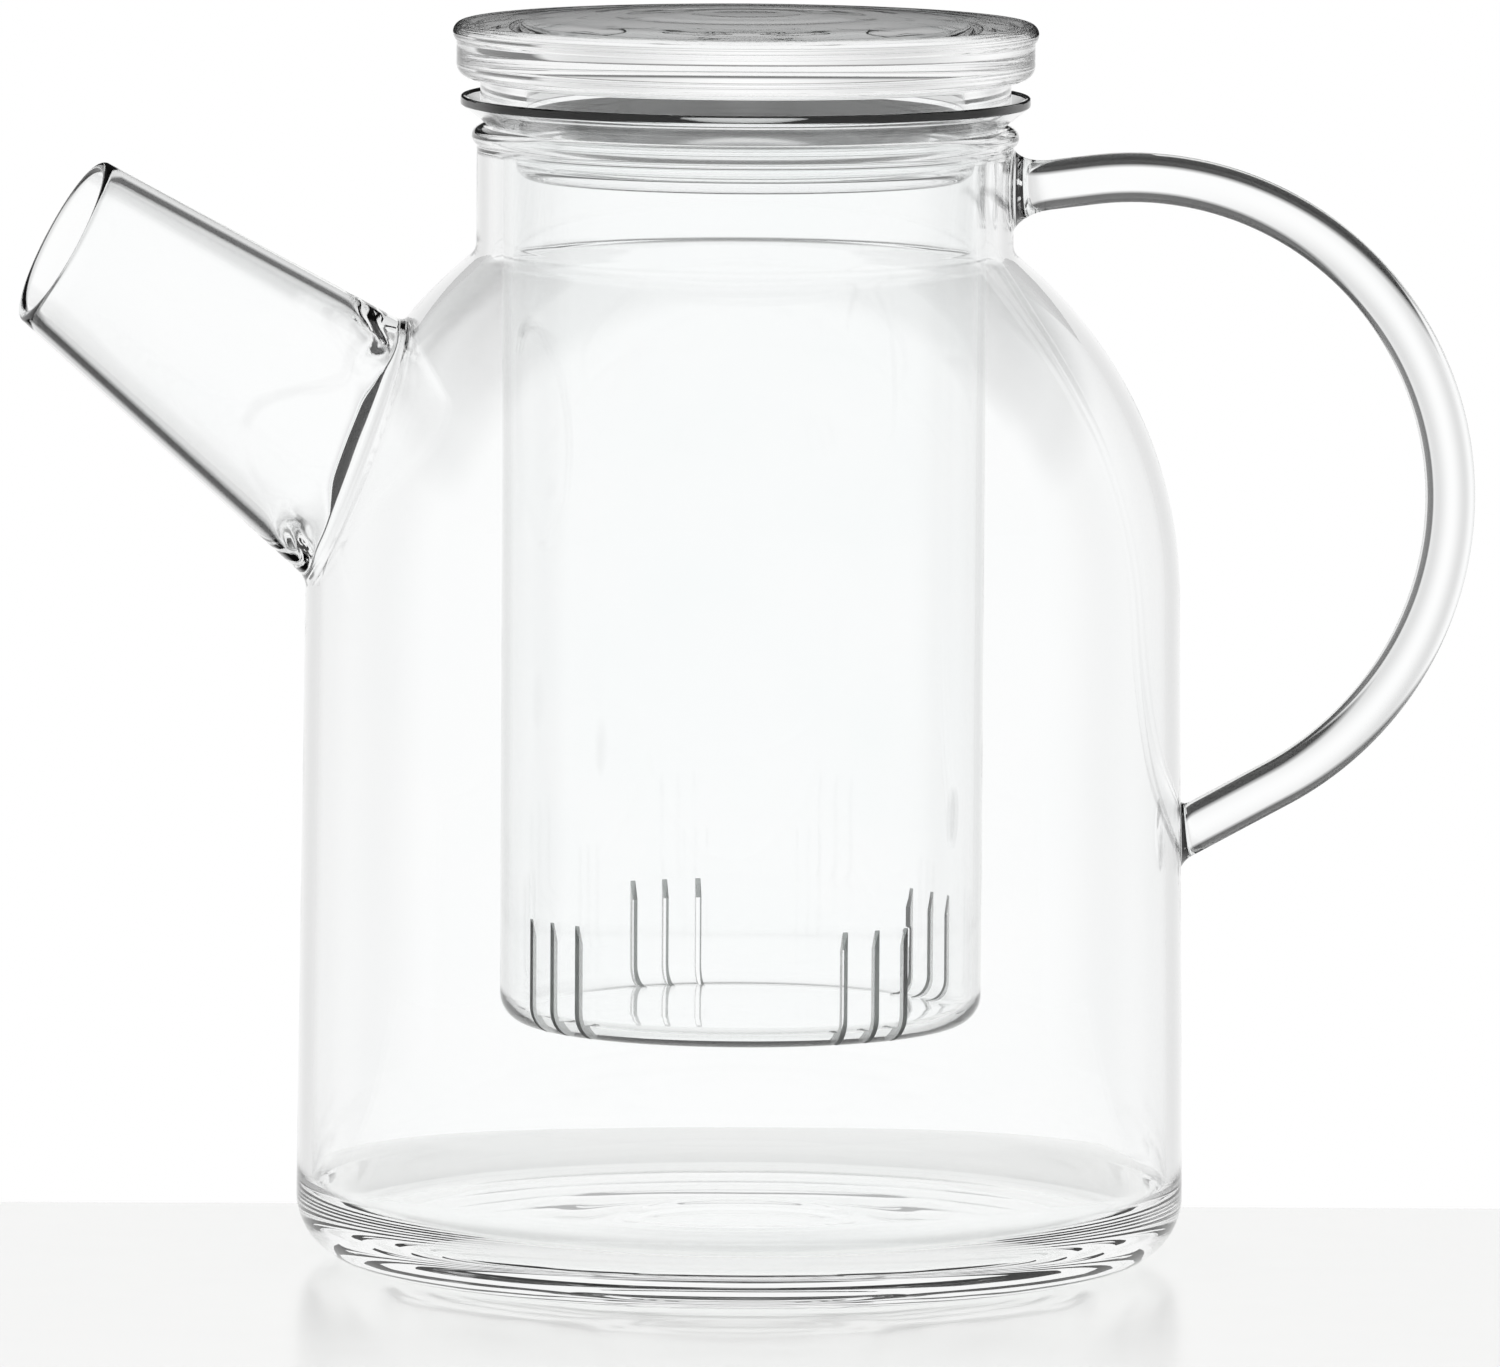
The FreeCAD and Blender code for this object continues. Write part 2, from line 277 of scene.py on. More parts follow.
def wallAt(z, inset):
    # the vessel's radius at a height: leaning wall, round dome, small fillet, straight neck
    lean = (wallOffset - inset - z * wallNormal[1]) / wallNormal[0]
    dome = np.sqrt(np.maximum((domeRadius - inset) ** 2 - (z - domeCentre[1]) ** 2, 0))
    small = v["neckFillet"] + inset
    fillet = filletCentre[0] - np.sqrt(np.maximum(small ** 2 - (z - filletCentre[1]) ** 2, 0))
    domeLow = domeCentre[1] + (domeRadius - inset) * math.sin(math.radians(wallTilt))
    domeHigh = domeCentre[1] + (domeRadius - inset) * math.sin(math.radians(domeEnd))
    return np.where(z < domeLow, lean, np.where(z < domeHigh, dome,
                    np.where(z < filletCentre[1], fillet, v["neckRadius"] - inset)))


def wallRows(heights, inset):
    z = np.asarray(heights, float)
    return np.stack([wallAt(z, inset), z], 1)


def rings(r, marks):
    # soft round ridges: height times exp of minus the squared distance from each ring
    return sum(high * np.exp(-((r - middle) / wide) ** 2) for middle, wide, high in marks)


potAngles = np.linspace(0, 2 * math.pi, v["columns"], endpoint=False)
potParts = []

# outside from the base's middle to the lip, then inside back to the floor's middle
spoutLow, spoutHigh, spoutRows, spoutCols = 88.0, 140.6, 28, 15
upperRows, upperCols, lowerRows, lowerCols = 10, 7, 16, 4
lipRows, heelRow = 20, 20
heelEnd = heelCentre[1] + v["heelRadius"] * wallNormal[1]
bottomR = np.linspace(0, heelCentre[0] - v["footRing"], 16)
bottom = np.stack([bottomR, v["footHollow"] * np.cos(bottomR / bottomR[-1] * math.pi / 2) ** 2], 1)
legSpread, legRaise = 7.2, 0.9
neckFoot = rimHeight - h["drop"]


def inPlane(rise):
    # a direction in the plane of spout and handle
    return np.array([math.cos(math.radians(rise)), 0.0, math.sin(math.radians(rise))])


lowerOut = inPlane(h["lowerSlope"])
upperOut = inPlane(h["upperRise"])
upperRise = math.radians(h["upperRise"])
bendZ = (neckFoot + (h["bendReach"] - v["neckRadius"]) * math.tan(upperRise)
         - h["bendRadius"] / math.cos(upperRise))
bendCentre = np.array([h["bendReach"], 0.0, bendZ])
legTop = bendCentre + h["bendRadius"] * inPlane(h["lowerSlope"] - 90)
wall3 = np.array([wallNormal[0], 0.0, wallNormal[1]])
legFoot = legTop - lowerOut * (legTop @ wall3 - wallOffset) / (lowerOut @ wall3)
legZ = legFoot[2] + legRaise
legLow, legHigh = legZ - legSpread, legZ + legSpread
outerZ = np.concatenate([
    [heelEnd], np.linspace(heelEnd + closeRow, legLow, 9),
    np.linspace(legLow, legHigh, lowerRows + 1)[1:], np.linspace(legHigh, spoutLow, 6)[1:],
    np.linspace(spoutLow, spoutHigh, spoutRows + 1)[1:]])
lipFoot = lipCentre[1] + v["lipRadius"] * math.sin(math.radians(lipStart))
outer = chain(
    bottom, arcRun(heelCentre, v["heelRadius"], -90, wallTilt, 20), wallRows(outerZ, 0),
    arcRun(filletCentre, v["neckFillet"], 180 + domeEnd, 180, 8),
    wallRows(np.linspace(filletCentre[1], lipFoot, upperRows + 1), 0),
    arcRun(lipCentre, v["lipRadius"], lipStart, 180, lipRows))
innerHeelZ = v["baseThickness"] + v["innerHeelRadius"]
innerHeelR = (wallOffset - v["wall"] - v["innerHeelRadius"] - innerHeelZ * wallNormal[1]) / wallNormal[0]
innerHeel = np.array([innerHeelR, innerHeelZ])
innerHigh, innerLow = 139.0, 89.5
innerEnd = innerHeelZ + v["innerHeelRadius"] * wallNormal[1]
floorR = np.linspace(innerHeelR, 0, 60)
floorRun = np.stack([floorR, v["baseThickness"] + rings(floorR, v["floorRings"])], 1)
inner = chain(
    lineRun((neckBore, lipCentre[1]), (neckBore, filletCentre[1]), 6),
    arcRun(filletCentre, v["neckFillet"] + v["wall"], 180, 180 + domeEnd, 8),
    wallRows(np.linspace(innerHigh, innerLow, spoutRows + 1), v["wall"]),
    wallRows(np.append(np.linspace(innerLow, innerEnd + closeRow, 10), innerEnd), v["wall"]),
    arcRun(innerHeel, v["innerHeelRadius"], wallTilt, -90, 16), floorRun)
potProfile = chain(outer, inner)
potGrid = turned(potProfile, potAngles)


def rowAt(z, inside=False):
    # the row of the profile at a height, outside from the heel up or inside from the lip down
    rows = np.arange(len(potProfile))
    lipTop = len(outer) - lipRows // 2
    rows = rows[rows > lipTop] if inside else rows[(rows > heelRow) & (rows < lipTop)]
    return int(rows[np.argmin(np.abs(potProfile[rows, 1] - z))])


# windows in the grid for spout and feet: first row, last row, middle column, half width
spoutColumn = v["columns"] // 2
windows = {
    "spoutOut": (rowAt(spoutLow), rowAt(spoutHigh), spoutColumn, spoutCols),
    "spoutIn": (rowAt(innerHigh, True), rowAt(innerLow, True), spoutColumn, spoutCols),
    "upper": (rowAt(filletCentre[1]), rowAt(filletCentre[1]) + upperRows, 0, upperCols),
    "lower": (rowAt(legLow), rowAt(legHigh), 0, lowerCols),
}
keep = np.ones((len(potProfile) - 1, v["columns"]), bool)
for j0, j1, middle, wide in windows.values():
    keep[j0:j1, np.arange(middle - wide, middle + wide) % v["columns"]] = False
potParts.append(gridPart(potGrid, keep=keep))


def windowEdge(window, centre, side, up):
    # the window's edge points in order of their angle about the tube's axis
    j0, j1, middle, wide = window
    i0, i1 = middle - wide, middle + wide
    ni, nj = i1 - i0, j1 - j0
    j = np.concatenate([np.full(ni, j0), np.arange(j0, j1), np.full(ni, j1), np.arange(j1, j0, -1)])
    i = np.concatenate([np.arange(i0, i1), np.full(nj, i1), np.arange(i1, i0, -1), np.full(nj, i0)])
    edge = potGrid[j, i % v["columns"]]
    around = np.unwrap(np.arctan2((edge - centre) @ up, (edge - centre) @ side))
    if around[-1] < around[0]:
        edge, around = edge[::-1], around[::-1]
    first = np.argmin((around + math.pi) % (2 * math.pi))
    edge, around = np.roll(edge, -first, 0), np.roll(around, -first)
    return edge, np.unwrap((around + math.pi) % (2 * math.pi) - math.pi)


def collar(edge, curve, inset, count):
    # rings from a window's edge to the weld, straight in (angle, height) and laid on the wall
    turn = math.atan2(*curve.mean(0)[1::-1])
    fromA, toA = (np.angle(np.exp(1j * (np.arctan2(p[:, 1], p[:, 0]) - turn))) for p in (edge, curve))
    t = np.linspace(0, 1, count + 1)[:, None]
    a = (1 - t) * fromA + t * toA + turn
    z = (1 - t) * edge[:, 2] + t * curve[:, 2]
    r = wallAt(z, inset)
    points = np.stack([r * np.cos(a), r * np.sin(a), z], 2)
    points[0], points[-1] = edge, curve
    return gridPart(points)


wallSteps, wallShare = 40, 0.8
weldRows, weldSteps = 11, 6


def onWall(base, axis, across, inset):
    # how far along the axis each point across it meets the wall, found in small steps
    along = np.zeros(across.shape[:-1])
    outward = np.sign(axis[0] * base[0])
    for step in range(wallSteps):
        p = base + across + along[..., None] * axis
        off = np.hypot(p[..., 0], p[..., 1]) - wallAt(p[..., 2], inset)
        along = along - off * outward * wallShare
    return along


# spout: a cone about a rising axis; its root stands on the dome on a quarter ellipse
side = np.array([0.0, 1.0, 0.0])
spoutRise, rootAngle = math.radians(s["rise"]), math.radians(s["rootAngle"])
spoutAxis = np.array([-math.cos(spoutRise), 0.0, math.sin(spoutRise)])
spoutUp = np.array([math.sin(spoutRise), 0.0, math.cos(spoutRise)])
spoutRoot = np.array([-domeRadius * math.cos(rootAngle), 0.0,
                      domeCentre[1] + domeRadius * math.sin(rootAngle)])
mouthRise, mouthTurn = math.radians(s["mouthRise"]), math.radians(s["mouthTurn"])
mouthNormal = np.array([-math.cos(mouthRise) * math.cos(mouthTurn), -math.sin(mouthTurn),
                        math.sin(mouthRise) * math.cos(mouthTurn)])


def coneRadius(along, inset):
    return s["mouthRadius"] - inset + (s["length"] - along) * math.tan(math.radians(s["halfAngle"]))


def acrossSpout(rho, around):
    return rho[..., None] * (np.cos(around)[..., None] * side + np.sin(around)[..., None] * spoutUp)


def spoutWeld(around, inset, wallInset, weld):
    # rows of the root: radius + w (1 - cos a), standing L (1 - sin a) off the dome,
    # a from 90 to 0 degrees
    a = np.radians(np.linspace(90, 0, weldRows))[:, None]
    along = np.zeros((weldRows, len(around)))
    for step in range(weldSteps):
        rho = coneRadius(along, inset) + weld[0] * (1 - np.cos(a))
        stand = onWall(spoutRoot, spoutAxis, acrossSpout(rho, around[None]), wallInset)
        along = stand + weld[1] * (1 - np.sin(a))
    return along, rho


edgeOut, aroundOut = windowEdge(windows["spoutOut"], spoutRoot, side, spoutUp)
edgeIn, aroundIn = windowEdge(windows["spoutIn"], spoutRoot, side, spoutUp)
weldAlong, weldRho = spoutWeld(aroundOut, 0, 0, s["weldOut"])
boreAlong, boreRho = spoutWeld(aroundIn, s["wall"], v["wall"], s["weldIn"])
lipR = s["wall"] / 2
slantUp = (spoutUp @ mouthNormal) / (spoutAxis @ mouthNormal)
slantSide = (side @ mouthNormal) / (spoutAxis @ mouthNormal)


def mouthAt(around):
    rho = s["mouthRadius"] - lipR
    return s["length"] - rho * (np.sin(around) * slantUp + np.cos(around) * slantSide)


def coneRows(fromAlong, toAlong, inset, count):
    t = np.linspace(0, 1, count + 1)[:, None]
    along = (1 - t) * fromAlong + t * toAlong
    return along, coneRadius(along, inset)


rowsOut = coneRows(weldAlong[-1], mouthAt(aroundOut) - lipR, 0, 24)
lipTurn = np.radians(np.linspace(0, 180, 13))[:, None]
lipMix = (1 - np.cos(lipTurn)) / 2
aroundLip = (1 - lipMix) * aroundOut + lipMix * aroundIn
lipAlong = mouthAt(aroundLip) - lipR + lipR * np.sin(lipTurn)
lipRho = coneRadius(mouthAt(aroundLip) - lipR, lipR) + lipR * np.cos(lipTurn)


def weldLump(away, around):
    # melted glass inside the root: a wavy swelling at the top and one at the bottom,
    # each a bell along and around, and none at the root itself
    wobble = sum(high * np.sin(count * around + start) for high, count, start in s["lumpWaves"])
    fade = 1 - np.exp(-(away / s["lumpStart"]) ** 2)
    along = fade * np.exp(-((away - s["lumpAway"] - wobble) / s["lumpLong"]) ** 2)
    wide = math.radians(s["lumpWide"])
    top = np.exp(-((around - math.pi / 2) / wide) ** 2)
    low = np.exp(-((around + math.pi / 2) / wide) ** 2)
    return s["lumpThick"] * along * (top + low)


# the bore's rows crowd towards the root
crowd = 1 - (1 - np.linspace(0, 1, s["boreRows"])[:, None]) ** s["boreCrowd"]
boreRows = (1 - crowd) * (mouthAt(aroundIn) - lipR) + crowd * boreAlong[-1]
rowsIn = (boreRows, coneRadius(boreRows, s["wall"]) - weldLump(boreRows - boreAlong[-1], aroundIn))
along = np.concatenate([weldAlong, rowsOut[0][1:], lipAlong[1:], rowsIn[0][1:], boreAlong[::-1][1:]])
rho = np.concatenate([weldRho, rowsOut[1][1:], lipRho[1:], rowsIn[1][1:], boreRho[::-1][1:]])
around = np.concatenate([
    np.broadcast_to(aroundOut, weldAlong.shape), np.broadcast_to(aroundOut, rowsOut[0].shape)[1:],
    aroundLip[1:], np.broadcast_to(aroundIn, rowsIn[0].shape)[1:],
    np.broadcast_to(aroundIn, boreAlong.shape)[1:]])
spoutGrid = spoutRoot + acrossSpout(rho, around) + along[..., None] * spoutAxis
potParts.append(gridPart(spoutGrid))
potParts.append(collar(edgeOut, spoutGrid[0], 0, 6))
potParts.append(collar(edgeIn, spoutGrid[-1], v["wall"], 6))

# handle: a rod on a leg, a round bend and a leg; each foot spreads on the wall
upperWeld = np.array([v["neckRadius"], 0.0, neckFoot])
upperUp = np.array([-upperOut[2], 0.0, upperOut[0]])
lowerUp = np.array([lowerOut[2], 0.0, -lowerOut[0]])


def footRows(base, out, up, around, foot):
    # rows of a foot: the same quarter ellipse on the rod
    a = np.radians(np.linspace(90, 0, weldRows))[:, None]
    rho = np.broadcast_to(h["rodRadius"] + foot[0] * (1 - np.cos(a)), (weldRows, len(around)))
    across = rho[..., None] * (np.cos(around)[None, :, None] * side + np.sin(around)[None, :, None] * up)
    along = onWall(base, out, across, 0) + foot[1] * (1 - np.sin(a))
    return base + across + along[..., None] * out


edgeUp, aroundUp = windowEdge(windows["upper"], upperWeld, side, upperUp)
edgeLow, aroundLow = windowEdge(windows["lower"], legFoot, side, lowerUp)
footUp = footRows(upperWeld, upperOut, upperUp, aroundUp, h["upperFoot"])
footLow = footRows(legFoot, lowerOut, lowerUp, aroundLow, h["lowerFoot"])
bendTurn = np.radians(np.linspace(90 + h["upperRise"], h["lowerSlope"] - 90, h["bendRows"]))
bendOut = np.stack([np.cos(bendTurn), np.zeros(h["bendRows"]), np.sin(bendTurn)], 1)
mix = np.linspace(0, 1, h["bendRows"])[:, None]
aroundBend = (1 - mix) * aroundUp + mix * aroundLow
bendMiddle = bendCentre + h["bendRadius"] * bendOut
bendRows = bendMiddle[:, None] + h["rodRadius"] * (
    np.cos(aroundBend)[..., None] * side + np.sin(aroundBend)[..., None] * bendOut[:, None])


def leg(a, b, count):
    t = np.linspace(0, 1, count + 1)[1:-1, None, None]
    return (1 - t) * a + t * b


handleGrid = np.concatenate([footUp, leg(footUp[-1], bendRows[0], 6), bendRows,
                             leg(bendRows[-1], footLow[-1], 12), footLow[::-1]])
potParts.append(gridPart(handleGrid))
potParts.append(collar(edgeUp, handleGrid[0], 0, 3))
potParts.append(collar(edgeLow, handleGrid[-1], 0, 4))
makePiece("pot", potParts, [glass], "pot",
          ["vessel", "spout", "handle_rod", "handle_upper_foot", "handle_lower_foot"])

# strainer: a closed tube with a funnel rim and twelve saw slits

strainer = {
    "clearance": 1.7, "wall": 1.2, "floor": 1.5, "corner": 4.0, "floorGap": 27.9, "flareAngle": 52.0,
    "flareBend": 4.0, "flareOverhang": 1.6, "rimEdge": 0.3, "seatGap": 0.3,
    "slitTurns": (29.0, 105.0, 215.0, 299.5), "slitPitch": 5.1, "slitWidth": 0.8, "slitHeight": 16.3,
    "slitReach": 4.5, "sawRadius": 45.0, "slitCols": 4, "columnTurn": 1.95, "parallelFrom": 25.0,
}
f = strainer
tubeR = neckBore - f["clearance"]
boreR = tubeR - f["wall"]
tubeLow = v["baseThickness"] + f["floorGap"]
floorTop = tubeLow + f["floor"]
flareDir, flareNormal = polar(1, 90 - f["flareAngle"]), polar(1, -f["flareAngle"])
flareR = lipCentre[0] + v["lipRadius"] + f["flareOverhang"]
seatPoint = lipCentre - flareNormal * (v["lipRadius"] + f["seatGap"])


def flarePoint(inset, radius):
    start = seatPoint - flareNormal * inset
    return start + flareDir * (radius - start[0]) / flareDir[0]


rimFoot, rimHead = flarePoint(0, flareR), flarePoint(f["wall"], flareR)
outerBend, innerBend = flarePoint(0, tubeR), flarePoint(f["wall"], boreR)
outerCorner, innerCorner = np.array([tubeR, tubeLow]), np.array([boreR, floorTop])

# the saw's circle goes through the slit's two ends outside, and so gives its two ends inside
sawR = f["sawRadius"]
slitTop = np.array([tubeR, tubeLow + f["slitHeight"]])
slitFoot = np.array([tubeR - f["slitReach"], tubeLow])
chord = slitTop - slitFoot
chordLong = np.linalg.norm(chord)
sawAway = np.array([chord[1], -chord[0]]) / chordLong * math.sqrt(sawR ** 2 - (chordLong / 2) ** 2)
sawCentre = (slitTop + slitFoot) / 2 + sawAway
sawWall = np.array([boreR, sawCentre[1] + math.sqrt(sawR ** 2 - (boreR - sawCentre[0]) ** 2)])
sawFloor = np.array([sawCentre[0] - math.sqrt(sawR ** 2 - (floorTop - sawCentre[1]) ** 2), floorTop])
cornerOut = cornerRun((0, tubeLow), outerCorner, outerBend, f["corner"], 8)
cornerIn = cornerRun(innerBend, innerCorner, (0, floorTop), f["corner"] - f["wall"], 8)
bendOutRun = cornerRun(outerCorner, outerBend, rimFoot, f["flareBend"], 8)
bendInRun = cornerRun(rimHead, innerBend, innerCorner, f["flareBend"] + f["wall"], 8)
underRun = lineRun((0, tubeLow), slitFoot, 10)
slitOut = chain(lineRun(slitFoot, cornerOut[0], 1), cornerOut, lineRun(cornerOut[-1], slitTop, 7))
upRun = chain(lineRun(slitTop, bendOutRun[0], 20), bendOutRun,
              cornerRun(outerBend, rimFoot, rimHead, f["rimEdge"], 5),
              cornerRun(rimFoot, rimHead, innerBend, f["rimEdge"], 5), bendInRun,
              lineRun(bendInRun[-1], sawWall, 20))
slitIn = chain(lineRun(sawWall, cornerIn[0], 7), cornerIn, lineRun(cornerIn[-1], sawFloor, 1))
tubeProfile = chain(underRun, slitOut, upRun, slitIn, lineRun(sawFloor, (0, floorTop), 10))
slitSteps = len(slitOut) - 1
rowOut = len(underRun) - 1
rowIn = rowOut + slitSteps + len(upRun) - 1

# columns: each slit has an edge at plus and minus half its width, so its faces are parallel
pitch = math.degrees(f["slitPitch"] / tubeR)
halfSlit = math.degrees(f["slitWidth"] / 2 / tubeR)
slits = [group + pitch * k for group in f["slitTurns"] for k in (-1, 0, 1)]
columnAngle, columnSide = [], []
for k, middle in enumerate(slits):
    following = slits[k + 1] if k + 1 < len(slits) else slits[0] + 360
    count = f["slitCols"] if k % 3 < 2 else round((following - middle) / f["columnTurn"])
    plain = np.linspace(middle + halfSlit, following - halfSlit, count + 1)[1:-1]
    columnAngle += [middle, middle, *plain]
    columnSide += [-1, 1, *np.zeros(count - 1)]
columnAngle, columnSide = np.radians(columnAngle), np.array(columnSide)
slitColumns = np.flatnonzero(columnSide == -1)
rowR = np.maximum(tubeProfile[:, 0], f["parallelFrom"])
halfAngle = np.arcsin(f["slitWidth"] / 2 / rowR)[:, None]
tubeGrid = turned(tubeProfile, columnAngle + columnSide * halfAngle)
keep = np.ones((len(tubeProfile) - 1, len(columnAngle)), bool)
keep[rowOut:rowOut + slitSteps, slitColumns] = False
keep[rowIn:rowIn + slitSteps, slitColumns] = False
tubeParts = [gridPart(tubeGrid, keep=keep)]
through = np.linspace(0, 1, 4)[:, None, None]
for c in slitColumns:
    faces = []
    for column in (c, c + 1):
        outside = tubeGrid[rowOut:rowOut + slitSteps + 1, column]
        inside = tubeGrid[rowIn:rowIn + slitSteps + 1, column][::-1]
        faces.append((1 - through) * outside + through * inside)
        tubeParts.append(gridPart(faces[-1], closed=False, slot=1))
    for end in (0, -1):
        across = np.stack([faces[0][:, end], faces[1][:, end]])
        tubeParts.append(gridPart(across, closed=False, slot=1))
makePiece("strainer", tubeParts, [glass, cutGlassPaintedShade], "infuser", ["infuser"], sharp=50)

# lid: a thick beaded disc on a hollow plug

lid = {
    "plugClearance": 0.5, "plugLength": 6.1, "plugWall": 1.4, "plugFloor": 1.7, "plugCorner": 2.2,
    "seatLength": 6.4, "seatBend": 1.0, "seatCorner": 0.4, "gap": 2.2, "thickness": 7.8, "overhang": 0.6,
    "edgeRadius": 2.0, "beadRadius": 1.5, "beadOverhang": 0.5, "crownSlope": 3.5, "columns": 192,
    "topRings": ((8.5, 1.6, 0.05), (17.0, 2.2, -0.10), (31.5, 2.6, 0.10)),
}
d = lid
plugR = boreR - d["plugClearance"]
lidLow = rimHead[1] + d["gap"]
lidHigh = lidLow + d["thickness"]
lidR = flareR + d["overhang"]
seatFoot = flarePoint(f["wall"] + f["seatGap"], plugR)
seatHead = seatFoot + flareDir * d["seatLength"]
plugLow = seatFoot[1] - d["plugLength"]
cavityR = plugR - d["plugWall"]
beadCentre = np.array([lidR + d["beadOverhang"] - d["beadRadius"], lidHigh - d["beadRadius"]])
beadStart = -math.degrees(math.acos((lidR - beadCentre[0]) / d["beadRadius"]))
slope = math.radians(d["crownSlope"])
crownCentre = np.array([0.0, beadCentre[1] - beadCentre[0] / math.tan(slope)])
crownR = beadCentre[0] / math.sin(slope) + d["beadRadius"]
crown = arcRun(crownCentre, crownR, 90 - d["crownSlope"], 90, 70)
crown[:, 1] += rings(crown[:, 0], d["topRings"])
seatTop = np.array([seatHead[0], lidLow])
lidProfile = chain(
    lineRun((0, plugLow), (plugR - d["plugCorner"], plugLow), 16),
    cornerRun((0, plugLow), (plugR, plugLow), seatFoot, d["plugCorner"], 10),
    cornerRun((plugR, plugLow), seatFoot, seatHead, d["seatBend"], 6),
    cornerRun(seatFoot, seatHead, seatTop, d["seatCorner"], 5),
    cornerRun(seatHead, seatTop, (lidR, lidLow), d["seatCorner"], 5),
    arcRun((lidR - d["edgeRadius"], lidLow + d["edgeRadius"]), d["edgeRadius"], -90, 0, 12),
    arcRun(beadCentre, d["beadRadius"], beadStart, 90 - d["crownSlope"], 18), crown)
cavityLow, cavityCorner = plugLow + d["plugFloor"], d["plugCorner"] / 2
cavityProfile = chain(
    lineRun((0, lidLow), (cavityR, lidLow), 16),
    cornerRun((cavityR, lidLow), (cavityR, cavityLow), (0, cavityLow), cavityCorner, 8),
    lineRun((cavityR - cavityCorner, cavityLow), (0, cavityLow), 16))
lidAngles = np.linspace(0, 2 * math.pi, d["columns"], endpoint=False)
lidParts = [gridPart(turned(run, lidAngles)) for run in (lidProfile, cavityProfile)]
makePiece("lid", lidParts, [thickGlass], "lid", ["lid_disc", "lid_plug"], turnOut=False)

# floor, dark card, backdrop, camera; all lengths are metres from here on

table = {"back": 0.054, "skew": -0.066, "front": -0.42, "half": 0.42, "drop": 0.0003,
         "colour": "F8F8F7", "roughness": (0.18, 0.22), "ior": 1.49, "mottle": 40.0}
lidCard = {"half": 0.12, "back": 0.11, "low": 0.166, "high": 0.30, "colour": "303030"}
apron = {"back": 0.095, "half": 0.066}


def tableLook():
    material, tree = newMaterial("acrylicSheetWhite")
    place = addNode(tree, "ShaderNodeTexCoord").outputs["Object"]
    mottle = addNode(tree, "ShaderNodeTexNoise", {"Vector": place}, Scale=table["mottle"], Detail=2.0)
    rough = addNode(tree, "ShaderNodeMapRange", {"Value": mottle.outputs["Fac"]},
                    To_Min=table["roughness"][0], To_Max=table["roughness"][1])
    shader = addNode(tree, "ShaderNodeBsdfPrincipled", {"Roughness": rough.outputs[0]},
                     Base_Color=colour(table["colour"]), IOR=table["ior"])
    addNode(tree, "ShaderNodeOutputMaterial", {"Surface": shader.outputs[0]})
    return material


def stagePiece(name, points, material):
    # one flat sheet through four points
    mesh = bpy.data.meshes.new(name)
    mesh.from_pydata(points, [], [(0, 1, 2, 3)])
    mesh.materials.append(material)
    obj = bpy.data.objects.new(name, mesh)
    scene.collection.objects.link(obj)
    return obj


def tableEdge(x):
    # the back edge runs a little askew
    return (x, table["back"] + x * table["skew"], -table["drop"])


sheet = tableLook()
tableHalf, tableZ = table["half"], -table["drop"]
stagePiece("table", [(-tableHalf, table["front"], tableZ), (tableHalf, table["front"], tableZ),
                     tableEdge(tableHalf), tableEdge(-tableHalf)], sheet)


def cardLook():
    # dark to a ray that is mirrored once, and clear to one that is mirrored more often
    material, tree = newMaterial("cardBlack")
    path = addNode(tree, "ShaderNodeLightPath")
    over = addNode(tree, "ShaderNodeMath", {0: path.outputs["Glossy Depth"]}, operation="GREATER_THAN")
    over.inputs[1].default_value = 1.5
    dark = addNode(tree, "ShaderNodeEmission", Color=colour(lidCard["colour"]), Strength=1.0)
    clear = addNode(tree, "ShaderNodeBsdfTransparent")
    shader = addNode(tree, "ShaderNodeMixShader",
                     {0: over.outputs[0], 1: dark.outputs[0], 2: clear.outputs[0]})
    addNode(tree, "ShaderNodeOutputMaterial", {"Surface": shader.outputs[0]})
    return material


def cardPiece(name, points, material, mirrors, lenses):
    # a sheet seen only in the glass: by its reflections or its refractions
    card = stagePiece(name, points, material)
    card.visible_camera = card.visible_diffuse = card.visible_shadow = False
    card.visible_glossy, card.visible_transmission = mirrors, lenses


# a card behind the lid for its top to mirror, and a strip of table behind the pot for its base to show
cardHalf, cardBack = lidCard["half"], lidCard["back"]
cardPiece("lidCard", [(-cardHalf, cardBack, lidCard["low"]), (cardHalf, cardBack, lidCard["low"]),
                      (cardHalf, cardBack, lidCard["high"]), (-cardHalf, cardBack, lidCard["high"])],
          cardLook(), mirrors=True, lenses=False)
apronHalf = apron["half"]
cardPiece("apron", [tableEdge(-apronHalf), tableEdge(apronHalf),
                    (apronHalf, apron["back"], tableZ), (-apronHalf, apron["back"], tableZ)],
          sheet, mirrors=False, lenses=True)

# world: white to the camera, to the table and to most of what the glass mirrors; through the glass
# a white wall that stops below and above, lower down beside the set than behind it, with soft upright
# bands (1 - depth (1 - cos(count a)) / 2, a the turn round the set) and a grey sector at the back right
backdrop = {"behind": -0.40, "beside": -0.58, "spread": (0.80, 0.866), "high": 0.28, "soft": 0.06,
            "rippleTurn": 85.6, "rippleCount": 8.0, "rippleDepth": 0.26,
            "sideDark": (-33.0, -58.0), "sideSoft": 0.03, "sideLevel": 0.15,
            "below": 0.02, "above": 0.10, "mirrored": 0.95, "towards": (0.15, 0.0)}
world = bpy.data.worlds.new("studio")
scene.world = world
world.use_nodes = True
tree = world.node_tree
tree.nodes.clear()


def sums(kind, a, b=None):
    # one sum of two values, each a socket or a number
    node = addNode(tree, "ShaderNodeMath", operation=kind)
    for place, value in enumerate((a, b)):
        if isinstance(value, (int, float)):
            node.inputs[place].default_value = value
        elif value is not None:
            tree.links.new(value, node.inputs[place])
    return node.outputs[0]


def between(value, low, high, start=0.0, end=1.0):
    # start at low, end at high, straight in between
    node = addNode(tree, "ShaderNodeMapRange", {"Value": value},
                   From_Min=low, From_Max=high, To_Min=start, To_Max=end)
    return node.outputs[0]


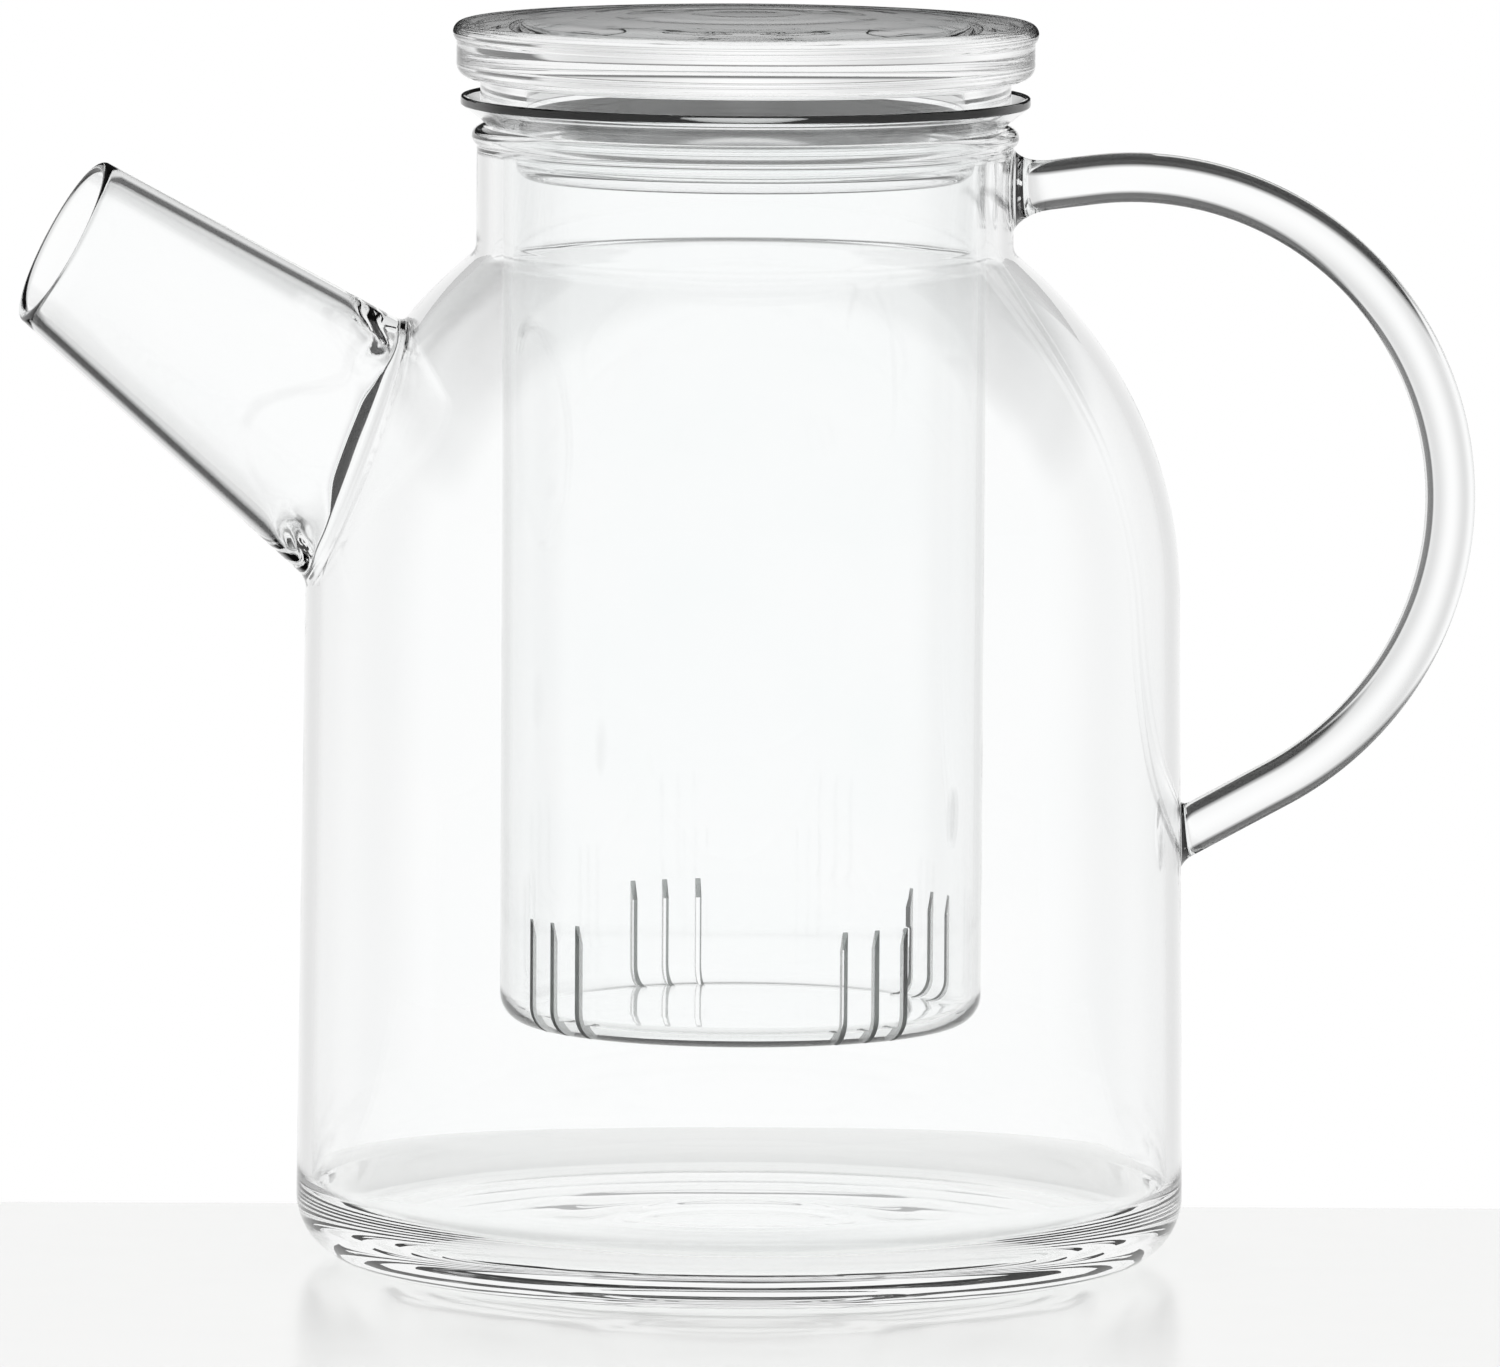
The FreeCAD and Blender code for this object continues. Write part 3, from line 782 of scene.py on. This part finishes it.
direction = addNode(tree, "ShaderNodeTexCoord").outputs["Generated"]
xyz = addNode(tree, "ShaderNodeSeparateXYZ", {0: direction})
x, y, z = (xyz.outputs[k] for k in range(3))
flatLong = sums("SQRT", sums("ADD", sums("MULTIPLY", x, x), sums("MULTIPLY", y, y)))
soft = backdrop["soft"]
wallLow = between(sums("DIVIDE", y, flatLong), *backdrop["spread"], backdrop["beside"], backdrop["behind"])
overLow = between(sums("SUBTRACT", z, wallLow), -soft, soft, backdrop["below"], 1.0)
underHigh = between(z, backdrop["high"], backdrop["high"] + 2 * soft, 1.0, backdrop["above"])
turnRound = sums("SUBTRACT", sums("ARCTAN2", y, x), math.radians(backdrop["rippleTurn"]))
wave = sums("COSINE", sums("MULTIPLY", turnRound, backdrop["rippleCount"]))
ripple = between(wave, -1.0, 1.0, 1 - backdrop["rippleDepth"], 1.0)
sideSoft = backdrop["sideSoft"]
pastNear, pastFar = (between(turnRound, math.radians(a) + sideSoft, math.radians(a) - sideSoft)
                     for a in backdrop["sideDark"])
sector = between(sums("SUBTRACT", pastNear, pastFar), 0.0, 1.0, 1.0, backdrop["sideLevel"])
path = addNode(tree, "ShaderNodeLightPath")


def choose(test, no, yes):
    # yes where the test holds, no elsewhere
    node = addNode(tree, "ShaderNodeMix", {0: test, 2: no})
    node.inputs[3].default_value = yes
    return node.outputs[0]


def passed(kind, count):
    # whether the ray has met a kind of surface at least so many times
    return sums("GREATER_THAN", path.outputs[kind], count - 0.5)


# the sector shows through one thickness of glass only, and not by a mirror
mirroredOnce, mirroredOften = passed("Glossy Depth", 1), passed("Glossy Depth", 2)
sector = choose(sums("MAXIMUM", mirroredOnce, passed("Transmission Depth", 3)), sector, 1.0)
shade = sums("MULTIPLY", sums("MULTIPLY", overLow, underHigh), sums("MULTIPLY", ripple, sector))
towards = between(y, *backdrop["towards"])
mirrored = sums("MAXIMUM", sums("MULTIPLY", mirroredOnce, towards), mirroredOften)
shade = choose(mirrored, shade, backdrop["mirrored"])
shade = choose(passed("Diffuse Depth", 1), shade, 1.0)
shade = choose(path.outputs["Is Camera Ray"], shade, 1.0)
light = addNode(tree, "ShaderNodeBackground", {"Strength": shade})
light.inputs["Color"].default_value = (1, 1, 1, 1)
addNode(tree, "ShaderNodeOutputWorld", {"Surface": light.outputs[0]})
print("studio ready")

# sharp rays and enough bounces for many walls of glass
scene.cycles.max_bounces = 32
scene.cycles.blur_glossy = 0.0
scene.cycles.transmission_bounces = 32
scene.cycles.glossy_bounces = 16
scene.cycles.transparent_max_bounces = 16

cameraLook = {"turn": -4.4, "distance": 2.36, "height": 0.332, "aim": (0.0011, 0.0, 0.0812),
              "roll": 0.35, "lens": 404.7, "sensor": 36.0}
eyeTurn, eyeAway = math.radians(cameraLook["turn"]), cameraLook["distance"]
eye = Vector((math.sin(eyeTurn) * eyeAway, -math.cos(eyeTurn) * eyeAway, cameraLook["height"]))
aim = Vector(cameraLook["aim"])
camera = bpy.data.objects.new("camera", bpy.data.cameras.new("camera"))
scene.collection.objects.link(camera)
facing = (aim - eye).to_track_quat("-Z", "Y").to_matrix().to_4x4()
roll = Matrix.Rotation(math.radians(cameraLook["roll"]), 4, "Z")
camera.matrix_world = Matrix.Translation(eye) @ facing @ roll
camera.data.sensor_width = cameraLook["sensor"]
camera.data.lens = cameraLook["lens"]
camera.data.clip_end = 20.0
scene.camera = camera
